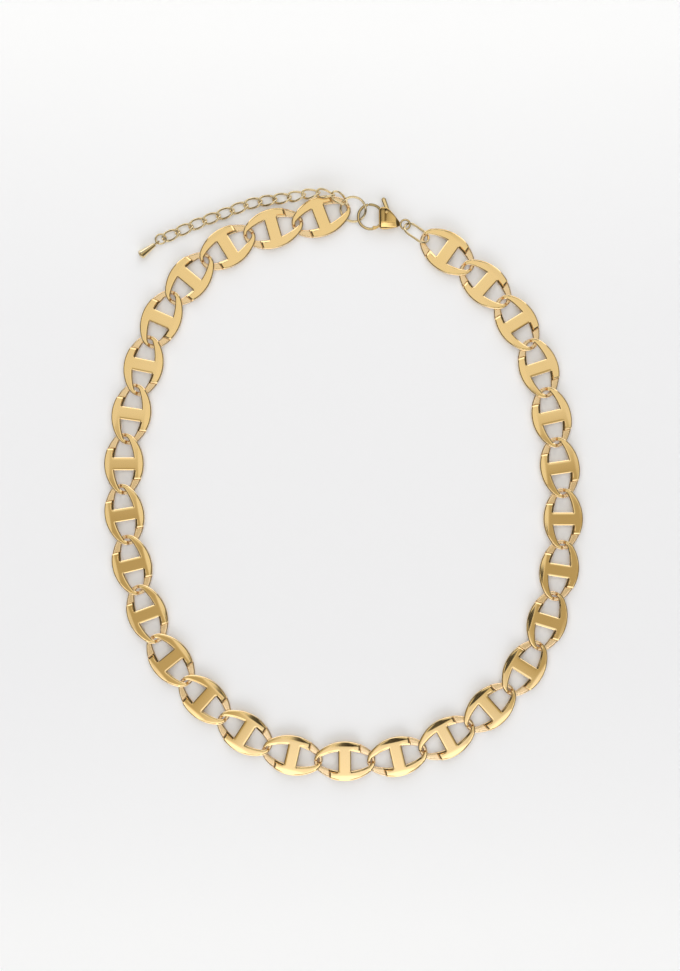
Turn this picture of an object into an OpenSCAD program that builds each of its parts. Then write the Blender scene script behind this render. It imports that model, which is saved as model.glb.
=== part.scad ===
// A neck chain of 29 flat oval links with a cross bar, a lobster clasp and a
// short extender chain that ends in a small drop. It lies open on a table,
// +Z up, seen from above, with its lowest faces on z = 0.

/* [Main links] */
// Number of large links
link_count = 29; // [29:1:29]
// Overall length of a large link
link_l = 16; // [15.8:0.1:16.4]
// Overall width of a large link
link_w = 10.3; // [9.8:0.1:10.6]
// Radius of a large link's outer ends
link_end_r = 3.5; // [3.2:0.1:3.8]
// Width of the cross bar
bar_w = 3.4; // [3:0.1:3.6]
// Wall of a large link at its tips
tip_wall = 0.85; // [0.8:0.05:0.85]
// Width of the two openings
hole_w = 5.3; // [5:0.1:5.6]
// Radius of the openings' far ends
hole_end_r = 1.3; // [1.1:0.1:1.5]
// Thickness of each half-height leaf at the link's ends
leaf_t = 0.95; // [0.85:0.05:1]
// Height of the gap between two leaves that cross
leaf_gap = 0.1; // [0.1:0.05:0.2]
// Distance from the middle of a link to the step in its rim
step_u = 4; // [3.8:0.1:4.2]
// Half of the stretch in which a tip slopes from the upper level to the lower
ramp_v = 0.3; // [0.25:0.05:0.3]
// How far that slope lies toward the upper arm
ramp_shift = 0.3; // [0.25:0.05:0.35]

/* [Neck loop] */
// Middle distance from one large link to the next
link_pitch = 13.32; // [13.32:0.01:13.32]
// How much closer the links lie at the clasp, and further apart in front
pitch_play = 0.46; // [0.4:0.02:0.46]

/* [Extender] */
// Number of small extender links
extender_count = 13; // [13:1:13]
// Distance from one small link to the next
extender_pitch = 3.84; // [3.84:0.01:3.84]
// Wire of a small link
extender_wire = 0.55; // [0.5:0.05:0.55]
// Width of a small link
extender_w = 3; // [2.9:0.1:3.1]
// How far each small link is twisted up and down
extender_twist = 0.55; // [0.55:0.05:0.6]
// Play between one small link's end and the next link's wire
extender_play = 0.13; // [0.12:0.01:0.15]

/* [Rings] */
// Wire of the large ring at the clasp
big_ring_wire = 0.65; // [0.6:0.05:0.65]
// Outer diameter of the large ring
big_ring_d = 7.2; // [7:0.1:7.4]
// Wire of the oval ring behind the clasp
oval_ring_wire = 0.65; // [0.6:0.05:0.65]
// Overall length of the oval ring
oval_ring_l = 7.7; // [7.5:0.1:7.9]
// Overall width of the oval ring
oval_ring_w = 4.7; // [4.7:0.1:4.8]
// Wire of the ring that carries the drop
end_ring_wire = 0.5; // [0.45:0.05:0.5]
// Outer diameter of the ring that carries the drop
end_ring_d = 3.2; // [3.2:0.1:3.3]

/* [Clasp] */
// Radius of the hook's middle line
hook_r = 3.17; // [3.1:0.01:3.2]
// Width of the hook's wire seen from above
hook_wire = 0.75; // [0.7:0.05:0.8]
// Height of the hook's wire
hook_h = 0.6; // [0.55:0.05:0.6]
// Thickness of the clasp's body
body_h = 3; // [3:0.1:3]
// Thickness of the lever
lever_h = 0.6; // [0.55:0.05:0.6]
// Diameter of the lever's pin
pin_d = 0.8; // [0.7:0.05:0.9]
// Play of the lever round its pin
pin_play = 0.04; // [0.03:0.01:0.06]
// Width of the lever's thumb tab
tab_w = 1.25; // [1:0.05:1.4]

/* [Drop] */
// Length of the drop without its eye
drop_l = 4.9; // [4.5:0.1:5.2]
// Largest diameter of the drop
drop_d = 2.4; // [2.2:0.1:2.4]
// How far the drop's blunt end is arched
drop_end = 0.6; // [0.3:0.1:1]

/* [Hidden] */
gold = "#e6c579";
link_h = 2 * leaf_t + leaf_gap;
curve_fn = 96;

// The neck loop's middle line, by hand from the picture: x, y. The first and
// last rows only set the direction at the two ends.
neck_rows = [
    [6.0, 72.5], [-5.7, 71.2], [-18.4, 68.0], [-30.3, 63.1], [-39.9, 55.1], [-47.2, 44.6],
    [-51.8, 32.7], [-55.0, 20.2], [-57.3, 1.0], [-55.0, -19.0], [-51.1, -32.0], [-45.0, -44.2],
    [-36.0, -54.6], [-25.6, -63.2], [-13.4, -69.0], [0.4, -70.6], [14.2, -69.4], [27.2, -64.5],
    [38.5, -56.5], [47.4, -46.2], [53.2, -33.9], [56.3, -20.6], [57.3, -7.0], [56.4, 6.3],
    [54.2, 19.4], [50.8, 32.1], [45.1, 43.8], [36.9, 53.7], [27.1, 62.0], [16.0, 70.0]
];

// The extender's middle line from the large ring on, by hand from the picture:
// x, y, z. The first and last rows only set the direction at the two ends.
extender_rows = [
    [2.5, 72.9, 1.0], [0.3, 74.5, 1.7], [-1.1, 75.95, 2.3], [-4.6, 77.0, 2.4],
    [-8.4, 77.05, 2.05], [-12.1, 76.5, 1.45], [-15.8, 76.0, 0.95], [-23.6, 74.7, 0.83],
    [-30.8, 72.1, 0.83], [-37.9, 69.4, 0.83], [-44.8, 66.4, 0.83], [-49.0, 64.4, 0.83]
];

// How far the small links roll where they lie over the first large link:
// link, degrees
roll_rows = [[1, -12], [2, -35], [3, -24], [4, -17], [5, -8], [6, -2], [7, 0]];

function spline_point(a, b, c, d, t) =
    0.5 * (2 * b + (c - a) * t + (2 * a - 5 * b + 4 * c - d) * t * t
        + (3 * b - a - 3 * c + d) * t * t * t);

function spline(rows, steps) = [
    for (k = [0 : len(rows) - 4])
        for (i = [0 : steps - 1])
            spline_point(rows[k], rows[k + 1], rows[k + 2], rows[k + 3], i / steps),
    rows[len(rows) - 2]
];

// Length run along a line up to each of its points
function run(line) = [
    for (i = 0, s = 0; i < len(line); i = i + 1,
        s = s + (i < len(line) ? norm(line[i] - line[i - 1]) : 0)) s
];

// Column k of a line as a table of length run and value
function column(line, lengths, k) = [for (i = [0 : len(line) - 1]) [lengths[i], line[i][k]]];

neck_line = spline(neck_rows, 12);
neck_run = run(neck_line);
neck_x = column(neck_line, neck_run, 0);
neck_y = column(neck_line, neck_run, 1);
function neck_at(s) = [lookup(s, neck_x), lookup(s, neck_y)];

// Length run from link 1 to link i: the links lie closest at the clasp
function link_run(i) = i <= 1 ? 0
    : link_run(i - 1) + link_pitch - pitch_play * cos(360 * (i - 3) / link_count);
function link_place(i) = neck_at(link_run(i));

// How far the links are turned from the line, by hand: link, degrees
lean_rows = [
    [1, 7], [2, -2], [3, 1], [6, 6], [7, 3], [9, 5], [10, 1], [11, -1.5], [12, 5], [14, -0.5],
    [15, 3], [16, 1], [17, 0.5], [18, 1], [19, 0], [21, 2.5], [22, 0], [23, 0.5], [24, 2],
    [25, 0.5], [26, -2], [27, -0.5], [28, 4], [29, 5]
];
function link_heading(i) =
    let (
        a = link_place(max(i - 1, 1)),
        b = link_place(min(i + 1, link_count)),
        d = b - a
    ) atan2(d[1], d[0]) + lookup(i, lean_rows);

extender_line = spline(extender_rows, 8);
extender_run = run(extender_line);
extender_x = column(extender_line, extender_run, 0);
extender_y = column(extender_line, extender_run, 1);
extender_z = column(extender_line, extender_run, 2);
function extender_at(s) =
    [lookup(s, extender_x), lookup(s, extender_y), lookup(s, extender_z)];

// An oval of length l and width w, its ends of radius r, its sides of two wide arcs
module oval(l, w, r) {
    end_x = l / 2 - r;
    side_r = (end_x * end_x + w * w / 4 - r * r) / (w - 2 * r);
    tangent_x = end_x * side_r / (side_r - r);
    intersection() {
        translate([0, w / 2 - side_r]) circle(side_r, $fn = curve_fn);
        translate([0, side_r - w / 2]) circle(side_r, $fn = curve_fn);
        square([2 * tangent_x, w], center = true);
    }
    for (side = [-1, 1])
        translate([side * end_x, 0]) circle(r, $fn = curve_fn);
}

module link_plan() {
    difference() {
        oval(link_l, link_w, link_end_r);
        difference() {
            oval(link_l - 2 * tip_wall, hole_w, hole_end_r);
            square([bar_w, link_w], center = true);
        }
    }
}

// What is kept beyond the step: high on the right side, low on the left, and
// a slope between them
module end_levels() {
    side = link_w / 2 + 1;
    reach = link_l / 2 + 1;
    high = leaf_t + leaf_gap;
    ramp_from = -ramp_shift - ramp_v;
    ramp_to = -ramp_shift + ramp_v;
    rotate([90, 0, 90])
        linear_extrude(reach)
            polygon([
                [-side, high], [ramp_from, high], [ramp_to, 0], [side, 0],
                [side, leaf_t], [ramp_to, leaf_t], [ramp_from, link_h], [-side, link_h]
            ]);
}

module main_link() {
    color(gold)
        intersection() {
            linear_extrude(link_h) link_plan();
            union() {
                translate([-step_u, -link_w, 0]) cube([2 * step_u, 2 * link_w, link_h]);
                end_levels();
                rotate(180) end_levels();
            }
        }
}

module main_link_at(i) {
    place = link_place(i);
    translate([place[0], place[1], 0]) rotate(link_heading(i)) main_link();
}

// A closed tube of the given wire along a ring of points
module wire_loop(points, wire, sides) {
    n = len(points);
    skin = [
        for (i = [0 : n - 1])
            let (
                ahead = points[(i + 1) % n] - points[(i + n - 1) % n],
                out = cross(ahead, [0, 0, 1]) / norm(cross(ahead, [0, 0, 1])),
                up = cross(out, ahead) / norm(ahead)
            )
            for (k = [0 : sides - 1])
                points[i] + wire / 2 * (cos(360 * k / sides) * out + sin(360 * k / sides) * up)
    ];
    polyhedron(skin, [
        for (i = [0 : n - 1])
            for (k = [0 : sides - 1])
                let (
                    a = i * sides + k,
                    b = i * sides + (k + 1) % sides,
                    c = ((i + 1) % n) * sides + (k + 1) % sides,
                    d = ((i + 1) % n) * sides + k
                )
                each [[a, b, c], [a, c, d]]
    ]);
}

// One twisted oval of the extender: it rises and falls twice on its way round
module curb_link() {
    half_l = (extender_pitch + extender_wire) / 2 + extender_play;
    half_w = (extender_w - extender_wire) / 2;
    wire_loop(
        [for (t = [0 : 360 / 14 : 359]) [half_l * cos(t), half_w * sin(t), -extender_twist * sin(2 * t)]],
        extender_wire, 6);
}

module extender_chain() {
    color(gold)
        for (i = [1 : extender_count]) {
            s = (i - 0.5) * extender_pitch;
            ahead = extender_at(s - extender_pitch / 2) - extender_at(s + extender_pitch / 2);
            pitch = -asin(ahead[2] / norm(ahead));
            translate(extender_at(s))
                rotate([lookup(i, roll_rows), pitch, atan2(ahead[1], ahead[0])])
                    curb_link();
        }
}

// A round ring of outer diameter d
module ring(d, wire) {
    rotate_extrude($fn = curve_fn)
        translate([(d - wire) / 2, 0]) circle(wire / 2, $fn = 24);
}

// Large ring: place, then its tilt and the way uphill
big_ring_at = [2.63, 73.05, 1.605];
big_ring_tilt = 23;
big_ring_uphill = 72;

module big_ring() {
    color(gold)
        translate(big_ring_at) rotate([0, -big_ring_tilt, big_ring_uphill])
            ring(big_ring_d, big_ring_wire);
}

oval_ring_at = [19.15, 66.9, 1.6];
oval_ring_turn = -34;
oval_ring_roll = -39;

module oval_ring() {
    bend_r = (oval_ring_w - oval_ring_wire) / 2;
    straight = oval_ring_l - oval_ring_w;
    color(gold)
        translate(oval_ring_at) rotate([oval_ring_roll, 0, oval_ring_turn])
            for (side = [0, 180])
                rotate(side) {
                    translate([straight / 2, 0, 0])
                        rotate(-90)
                            rotate_extrude(angle = 180, $fn = curve_fn)
                                translate([bend_r, 0]) circle(oval_ring_wire / 2, $fn = 24);
                    translate([-straight / 2, bend_r, 0])
                        rotate([0, 90, 0])
                            cylinder(h = straight, d = oval_ring_wire, $fn = 24);
                }
}

end_ring_at = [-47.5, 65.4, 0.86];
end_ring_tilt = 15.5;
end_ring_uphill = 281;

module end_ring() {
    color(gold)
        translate(end_ring_at) rotate([0, -end_ring_tilt, end_ring_uphill])
            ring(end_ring_d, end_ring_wire);
}

// Clasp, drawn round the middle of its hook
clasp_at = [7.15, 71.1, 0];
clasp_mid_z = body_h / 2;
pivot = [4.2, 1.1];
gate_reach = 5.1;
gate_gap = 0.12;
eye_at = [9.05, -2.0];
eye_r = 1.22;
eye_wire = 0.56;
slot_h = lever_h + 0.2;

// Outline of the clasp's body seen from above: x, y
body_rows = [
    [2.15, 2.35], [3.5, 2.55], [4.9, 2.1], [7.6, -1.3], [7.9, -2.0],
    [7.5, -2.6], [6.1, -2.95], [4.1, -3.3], [2.4, -3.25], [2.15, -3.0]
];

// A flat piece of the clasp, centred on its middle height
module clasp_slab(h) {
    translate([0, 0, clasp_mid_z - h / 2]) linear_extrude(h) children();
}

module hook_ring_plan() {
    difference() {
        circle(hook_r + hook_wire / 2, $fn = curve_fn);
        circle(hook_r - hook_wire / 2, $fn = curve_fn);
    }
}

module hook_plan() {
    difference() {
        hook_ring_plan();
        translate([2.6, -6]) square([4, 12]);
        intersection() {
            translate(pivot) circle(gate_reach + gate_gap, $fn = curve_fn);
            translate([-3, 0]) square([9, 6]);
        }
    }
    intersection() {
        circle(hook_r + hook_wire / 2, $fn = curve_fn);
        translate([0.4, -4]) square([2.4, 1.65]);
    }
}

// Rounded back of the body: two wide cylinders, and a slope toward the tail
module body_form() {
    swell_r = 7.3;
    tail_h = 1.3;
    intersection() {
        intersection_for(side = [-1, 1])
            translate([0, -0.4, clasp_mid_z + side * (swell_r - body_h / 2)])
                rotate([0, 90, 0]) cylinder(h = 10, r = swell_r, $fn = curve_fn);
        translate([0, 5, clasp_mid_z])
            rotate([90, 0, 0])
                linear_extrude(10)
                    polygon([
                        [0, body_h], [3.6, body_h / 2], [8.2, tail_h / 2],
                        [8.2, -tail_h / 2], [3.6, -body_h / 2], [0, -body_h]
                    ]);
    }
}

module clasp_body() {
    color(gold)
        translate(clasp_at) {
            difference() {
                intersection() {
                    linear_extrude(body_h) polygon(body_rows);
                    body_form();
                }
                clasp_slab(slot_h) translate([1, -0.6]) square([4.4, 4]);
                translate([pivot[0], pivot[1], -1]) cylinder(h = body_h + 2, d = pin_d, $fn = 48);
            }
            clasp_slab(hook_h) hook_plan();
            translate([eye_at[0], eye_at[1], clasp_mid_z]) ring(2 * eye_r + eye_wire, eye_wire);
        }
}

module clasp_pin() {
    color(gold)
        translate([clasp_at[0] + pivot[0], clasp_at[1] + pivot[1], clasp_mid_z - body_h / 2 + 0.15])
            cylinder(h = body_h - 0.3, d = pin_d, $fn = 48);
}

tab_foot = [4.45, 1.9];
tab_tip = [3.45, 4.45];

module lever_plan() {
    intersection() {
        difference() {
            hook_ring_plan();
            translate([-6, -6]) square([12, 6]);
            translate([3.6, -6]) square([4, 12]);
        }
        translate(pivot) circle(gate_reach, $fn = curve_fn);
    }
    translate(pivot) circle(0.95, $fn = 48);
    translate(tab_tip) circle(tab_w / 2, $fn = 32);
    lean = atan2(tab_tip[1] - tab_foot[1], tab_tip[0] - tab_foot[0]);
    translate(tab_foot) rotate(lean)
        translate([-0.6, -tab_w / 2]) square([norm(tab_tip - tab_foot) + 0.6, tab_w]);
    translate([2.2, 1.6]) square([1.9, 0.75]);
}

module clasp_lever() {
    color(gold)
        translate(clasp_at)
            difference() {
                clasp_slab(lever_h) lever_plan();
                translate([pivot[0], pivot[1], -1])
                    cylinder(h = body_h + 2, d = pin_d + 2 * pin_play, $fn = 48);
            }
}

// Drop: place of its eye, its heading and how far its axis rises
drop_at = [-48.44, 64.36, 1.1];
drop_heading = 217;
drop_rise = 2;
drop_eye_r = 0.65;
drop_eye_wire = 0.4;

module drop() {
    neck_r = 0.3;
    round_at = drop_l - drop_end;
    color(gold)
        translate(drop_at) rotate([0, -drop_rise, drop_heading]) {
            rotate([90, 0, 0]) ring(2 * drop_eye_r + drop_eye_wire, drop_eye_wire);
            translate([drop_eye_r + drop_eye_wire / 4, 0, 0])
                rotate([0, 90, 0])
                    rotate_extrude($fn = curve_fn)
                        polygon([
                            [0, 0], [neck_r, 0],
                            for (k = [1 : 6]) [
                                neck_r + (drop_d / 2 - neck_r) * (1 - cos(90 * k / 6)) ^ 0.8,
                                round_at * k / 6
                            ],
                            for (a = [15 : 15 : 75]) [
                                drop_d / 2 * cos(a), round_at + drop_end * sin(a)
                            ],
                            [0, drop_l]
                        ]);
        }
}

function link_name(i) = str("link_", i < 10 ? "0" : "", i);

// Moves the middle of the whole necklace to the origin
to_middle = [-0.152, -1.393, 0];

module placed(name) {
    translate(to_middle) children();
}

for (i = [1 : link_count])
    placed(link_name(i)) main_link_at(i);
placed("big_ring") big_ring();
placed("clasp_body") clasp_body();
placed("clasp_pin") clasp_pin();
placed("clasp_lever") clasp_lever();
placed("oval_ring") oval_ring();
placed("extender_chain") extender_chain();
placed("end_ring") end_ring();
placed("drop") drop();
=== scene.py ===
# %% [markdown]
# # A gold link chain on a pale table
# Twenty-nine flat links, a lobster clasp, three rings, a short extender and its drop, seen from
# straight above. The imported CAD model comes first, as a fixed frame in metres. Each visible piece
# is then worked out as a finer surface that stands where its solid lies, and gets its gold.
# Lengths are in millimetres until a mesh is made.

# %% Load the frame
import math

import bmesh
import bpy
import numpy as np
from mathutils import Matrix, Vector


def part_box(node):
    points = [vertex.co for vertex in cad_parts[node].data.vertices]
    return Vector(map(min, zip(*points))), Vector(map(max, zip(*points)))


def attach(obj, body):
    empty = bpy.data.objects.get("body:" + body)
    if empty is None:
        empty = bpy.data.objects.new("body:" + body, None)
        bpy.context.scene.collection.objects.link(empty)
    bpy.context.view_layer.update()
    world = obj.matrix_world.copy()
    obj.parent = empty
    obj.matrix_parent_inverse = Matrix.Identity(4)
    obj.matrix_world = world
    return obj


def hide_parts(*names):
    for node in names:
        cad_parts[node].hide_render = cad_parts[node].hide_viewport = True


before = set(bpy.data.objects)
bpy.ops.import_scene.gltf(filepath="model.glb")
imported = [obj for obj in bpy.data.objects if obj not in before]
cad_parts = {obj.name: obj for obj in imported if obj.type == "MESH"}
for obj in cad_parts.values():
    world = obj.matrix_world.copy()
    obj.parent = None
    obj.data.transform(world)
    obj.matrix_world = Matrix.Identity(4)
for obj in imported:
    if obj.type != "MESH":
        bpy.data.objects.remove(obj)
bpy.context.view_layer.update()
MM = 0.001
scene = bpy.context.scene
print("solids in the frame:", len(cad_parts))

# %% [markdown]
# ## Camera
# The picture was taken straight down from about half a metre above. Every link keeps its width from
# the top of the picture to the bottom, and of the side walls only those that face the middle show.
# A camera without perspective would be simpler, but each link mirrors another part of the room, and
# that is what tells them apart. The picture is 680 x 971 px at 0.26 mm a pixel, measured on the
# links' top faces.

# %% Camera
PIXEL = 0.26 * MM
PICTURE = (680, 971)
CAMERA_HEIGHT, TOP_HEIGHT = 0.55, 0.002
PICTURE_MIDDLE = (-0.932 * MM, -0.223 * MM)
lens = bpy.data.cameras.new("macro_lens")
lens.sensor_width = 36
lens.lens = lens.sensor_width * (CAMERA_HEIGHT - TOP_HEIGHT) / (PICTURE[1] * PIXEL)
lens.clip_end = 10
camera = bpy.data.objects.new("camera", lens)
camera.location = (*PICTURE_MIDDLE, CAMERA_HEIGHT)
scene.collection.objects.link(camera)
scene.camera = camera
print("lens:", round(lens.lens), "mm")

# %% [markdown]
# ## Grids become meshes
# Each piece is one or more grids of points. Neighbouring rows and columns are joined by quads, a
# grid may close on itself, and grids that meet share their border points, which are merged.
# Modifiers could cut and bevel the CAD solids instead, but a grid puts its points where the surface
# turns and nowhere else.

# %% From grids to a mesh
WELD, SLIVER = 0.002 * MM, 0.001 * MM


def full_turn(count):
    """Equal angles once round."""
    return np.linspace(0, 2 * math.pi, count, endpoint=False)


def quads(rows, columns, first=0, wrap_rows=False, wrap_columns=False):
    """Corner numbers of the quads between each point (i, j) of a grid and its neighbours
    (i + 1, j), (i + 1, j + 1) and (i, j + 1); a wrapped side counts on from its start."""
    i = np.arange(rows if wrap_rows else rows - 1)[:, None]
    j = np.arange(columns if wrap_columns else columns - 1)[None, :]
    below, right = (i + 1) % rows, (j + 1) % columns
    corners = [i * columns + j, below * columns + j, below * columns + right, i * columns + right]
    corners = [np.broadcast_to(corner, (i.size, j.size)) for corner in corners]
    return first + np.stack(corners, -1).reshape(-1, 4)


def join(grids):
    """Points, edge values and quads of several grids in one list. A grid is its points (rows,
    columns, 3), its closed sides as text, and an edge value, which paints light: 0 is the body of a
    piece, 1 a painted highlight on a smoother edge, 2 painted shade."""
    points, edges, faces, first = [], [], [], 0
    for grid, closed, edge in grids:
        rows, columns = grid.shape[:2]
        faces.append(quads(rows, columns, first, "rows" in closed, "columns" in closed))
        points.append(grid.reshape(-1, 3))
        edges.append(np.broadcast_to(edge, (rows, columns)).reshape(-1))
        first += rows * columns
    return np.concatenate(points), np.concatenate(edges), np.concatenate(faces)


def finish_mesh(name, points, edges, faces, smooth_deg=50):
    """A mesh of points in millimetres, its doubles merged and its faces turned outwards."""
    mesh = bpy.data.meshes.new(name)
    mesh.from_pydata(points * MM, [], faces.tolist())
    # The edge values, the painted highlights and shade, are kept as the point attribute 'edge'.
    painted_light_values = mesh.attributes.new("edge", "FLOAT", "POINT")
    painted_light_values.data.foreach_set("value", np.ascontiguousarray(edges, dtype=np.float32))
    work = bmesh.new()
    work.from_mesh(mesh)
    bmesh.ops.remove_doubles(work, verts=work.verts, dist=WELD)
    bmesh.ops.dissolve_degenerate(work, edges=work.edges, dist=SLIVER)
    bmesh.ops.recalc_face_normals(work, faces=work.faces)
    work.to_mesh(mesh)
    work.free()
    mesh.polygons.foreach_set("use_smooth", np.ones(len(mesh.polygons), dtype=bool))
    mesh.set_sharp_from_angle(angle=math.radians(smooth_deg))
    return mesh


def add_piece(name, mesh, nodes, material, body="necklace"):
    """Puts a mesh into the scene as a piece that stands for CAD nodes and rides on their body."""
    piece = bpy.data.objects.new(name, mesh)
    scene.collection.objects.link(piece)
    mesh.materials.append(material)
    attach(piece, body)
    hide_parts(*nodes)


# %% [markdown]
# ## Shader maths in plain Python
# A small class wraps a socket, so that `1 - mask` or `noise * 0.2 + 0.1` adds its Math nodes.
# Any other node comes from one method that takes its type, its settings and its inputs.

# %% Shader helper
class Value:
    """One output of a shader node that can be added, multiplied and so on."""

    def __init__(self, shader, socket):
        self.shader, self.socket = shader, socket

    def math(self, operation, a, b):
        return self.shader.node("ShaderNodeMath", {"operation": operation}, {0: a, 1: b})

    def __add__(self, other):
        return self.math("ADD", self, other)

    def __sub__(self, other):
        return self.math("SUBTRACT", self, other)

    def __rsub__(self, other):
        return self.math("SUBTRACT", other, self)

    def __mul__(self, other):
        return self.math("MULTIPLY", self, other)


class Shader:
    """The node tree of one material or of the world."""

    def __init__(self, tree):
        self.tree = tree
        tree.nodes.clear()

    def node(self, kind, settings={}, inputs={}, output=0):
        """Adds a node: its settings first, then values or links for its sockets."""
        node = self.tree.nodes.new(kind)
        for key, value in settings.items():
            setattr(node, key, value)
        for key, value in inputs.items():
            if isinstance(value, Value):
                self.tree.links.new(value.socket, node.inputs[key])
            else:
                node.inputs[key].default_value = value
        return Value(self, node.outputs[output]) if node.outputs else None

    def place(self):
        """Where a point of the object lies, in metres."""
        return self.node("ShaderNodeTexCoord", output=3)

    def part(self, vector, k):
        """The x, y or z (0, 1 or 2) of a vector."""
        return self.node("ShaderNodeSeparateXYZ", {}, {0: vector}, output=k)

    def mix(self, share, a, b):
        """Colour a turning into colour b as share goes from 0 to 1."""
        a, b = (colour if isinstance(colour, Value) else (*colour, 1) for colour in (a, b))
        return self.node("ShaderNodeMix", {"data_type": "RGBA"}, {0: share, 6: a, 7: b}, output=2)

    def noise(self, place, scale, detail=2.0):
        """Cloudy noise with so many waves to the metre."""
        inputs = {"Vector": place, "Scale": scale, "Detail": detail}
        return self.node("ShaderNodeTexNoise", {}, inputs)

    def spread(self, value, low, high):
        """The part of value from low to high, stretched to 0 to 1."""
        inputs = {"Value": value, "From Min": low, "From Max": high}
        return self.node("ShaderNodeMapRange", {}, inputs)


# %% [markdown]
# ## Polished gold
# The real pieces are plated and tumble-polished. Gold has no colour of its own under the
# reflections, so the tone sits in Base Color with Metallic at 1. A painted picture could carry the
# painted highlights and shade, but noise and one value per point stay sharp at any size. Four
# things keep the gold from looking like plastic: a tone that drifts by a few per cent, edges that
# are smoother where polishing cuts deepest and painted paler as a highlight, painted shade and dark
# reflection on the sides of wires and in hollows, and hair-fine scratches that run mostly one way.
# The wheel doesn't reach the links' lower leaves, so they are pinker and duller.

# %% Gold
DRIFT_WAVES, PATCH_WAVES, HAIR_WAVES = 70.0, 420.0, 900.0
HAIR_STRETCH = (1.0, 14.0, 1.0)
DULL_BELOW, BRIGHT_ABOVE = 1.0 * MM, 1.2 * MM
DULL_GOLD, DULL_ROUGHNESS = (0.95, 0.73, 0.48), 0.22


def gold(name, tone, deep, pale, roughness, scratch_turn, matte=0.0, painted_shade_tone=(0.34, 0.27, 0.13)):
    """A plated finish between two tones, with a patchy shine and fine scratches. As the edge value
    goes from 0 to 1 it turns pale, a painted highlight, and from 1 to 2 it turns into
    painted_shade_tone, a painted shade. matte says how much of the unpolished finish shows on what
    lies lower than about 1 mm."""
    material = bpy.data.materials.new(name)
    material.use_nodes = True
    s = Shader(material.node_tree)
    place = s.place()
    edge = s.node("ShaderNodeAttribute", {"attribute_name": "edge"}, output=2)
    drift = s.spread(s.noise(place, DRIFT_WAVES), 0.35, 0.65)
    patch = s.noise(place, PATCH_WAVES, 4.0)
    along = s.node("ShaderNodeMapping", {}, {
        "Vector": place, "Rotation": (0, 0, scratch_turn), "Scale": HAIR_STRETCH})
    hair = s.noise(along, HAIR_WAVES, 3.0)
    unpolished = (1 - s.spread(s.part(place, 2), DULL_BELOW, BRIGHT_ABOVE)) * matte
    painted_highlight_share, painted_shade_share = s.spread(edge, 0.0, 1.0), s.spread(edge, 1.0, 2.0)
    # Painted light: edge values turn the tone pale as a painted highlight, then dark as painted
    # shade.
    polished = s.mix(painted_shade_share, s.mix(painted_highlight_share * 0.55, s.mix(drift, tone, deep), pale), painted_shade_tone)
    colour = s.mix(unpolished, polished, DULL_GOLD)
    polish = patch * 0.05 + hair * 0.03 - painted_highlight_share * (0.3 * roughness)
    shine = polish + unpolished * DULL_ROUGHNESS + (roughness - 0.04)
    bump = s.node("ShaderNodeBump", {}, {"Strength": 0.05, "Distance": 0.01 * MM, "Height": hair})
    metal = s.node("ShaderNodeBsdfPrincipled", {}, {
        "Base Color": colour, "Metallic": 1.0, "Roughness": shine, "Normal": bump})
    s.node("ShaderNodeOutputMaterial", {}, {"Surface": metal})
    return material


# pale is the painted highlight tone, and painted_shade_tone the painted shade, set darker and more
# olive for the rings.
LINK_GOLD = gold("link_gold", tone=(0.95, 0.705, 0.37), deep=(0.93, 0.685, 0.34),
                 pale=(0.98, 0.82, 0.55), roughness=0.07, scratch_turn=0.4, matte=0.8)
CLASP_GOLD = gold("clasp_gold", tone=(0.86, 0.60, 0.25), deep=(0.74, 0.48, 0.18),
                  pale=(0.90, 0.76, 0.50), roughness=0.10, scratch_turn=1.2)
RING_GOLD = gold("ring_gold", tone=(0.94, 0.73, 0.40), deep=(0.91, 0.69, 0.36),
                 pale=(0.97, 0.87, 0.63), roughness=0.07, scratch_turn=0.0,
                 painted_shade_tone=(0.46, 0.34, 0.15))
print("finishes:", ", ".join(finish.name for finish in (LINK_GOLD, CLASP_GOLD, RING_GOLD)))

# %% [markdown]
# ## The outline of a link
# A link is an oval with a cross bar. Its sides are two wide arcs, its tips two small ones. The two
# openings are what a smaller oval leaves beside the bar. An ellipse would be one formula, but it
# leaves no choice of radius at the tips: it would give 3.3 and 1.0 mm, and 3.5 and 1.3 mm were
# chosen from the picture. Each outline is first a dense line of points, so that any place along it
# can be looked up.

# %% Link outline
# Outside: length, width, radius of the tips. Opening: wall at the tip, height, radius of the tips.
# BAR_U is half the cross bar's width, STEP_U the place where an arm steps down. u runs along a
# link, v across it.
LINK_L, LINK_W, END_R = 16.0, 10.3, 3.5
TIP_WALL, HOLE_W, HOLE_END_R = 0.94, 5.3, 1.3
BAR_U = 1.7
STEP_U = 4.0


def oval_quarter(length, width, end_r, count=600):
    """The upper right quarter of an oval from its top to its tip: a wide arc round a centre below
    the middle, then the tip's arc, both swept by equal angles."""
    end_x = length / 2 - end_r
    side_r = (end_x**2 + width**2 / 4 - end_r**2) / (width - 2 * end_r)
    drop = side_r - width / 2
    turn = math.atan2(end_x, drop)
    a = np.linspace(0, turn, count)
    b = np.linspace(turn, math.pi / 2, count)[1:]
    side = np.stack([side_r * np.sin(a), side_r * np.cos(a) - drop], -1)
    tip = np.stack([end_x + end_r * np.sin(b), end_r * np.cos(b)], -1)
    return np.concatenate([side, tip])


def from_u(line, u):
    """The point of a quarter line at a given distance u from the middle."""
    return np.stack([u, np.interp(u, line[:, 0], line[:, 1])], -1)


def beyond(line, start_u, share):
    """Points at shares 0 to 1 of the line's length between start_u and the tip."""
    run = np.concatenate([[0], np.cumsum(np.linalg.norm(np.diff(line, axis=0), axis=1))])
    start = np.interp(start_u, line[:, 0], run)
    at = start + share * (run[-1] - start)
    return np.stack([np.interp(at, run, line[:, k]) for k in (0, 1)], -1)


outer_line = oval_quarter(LINK_L, LINK_W, END_R)
hole_line = oval_quarter(LINK_L - 2 * TIP_WALL, HOLE_W, HOLE_END_R)
hole_top = from_u(hole_line, np.array([BAR_U]))[0, 1]
print("opening beside the bar:", round(2 * hole_top, 2), "mm high")

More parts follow.
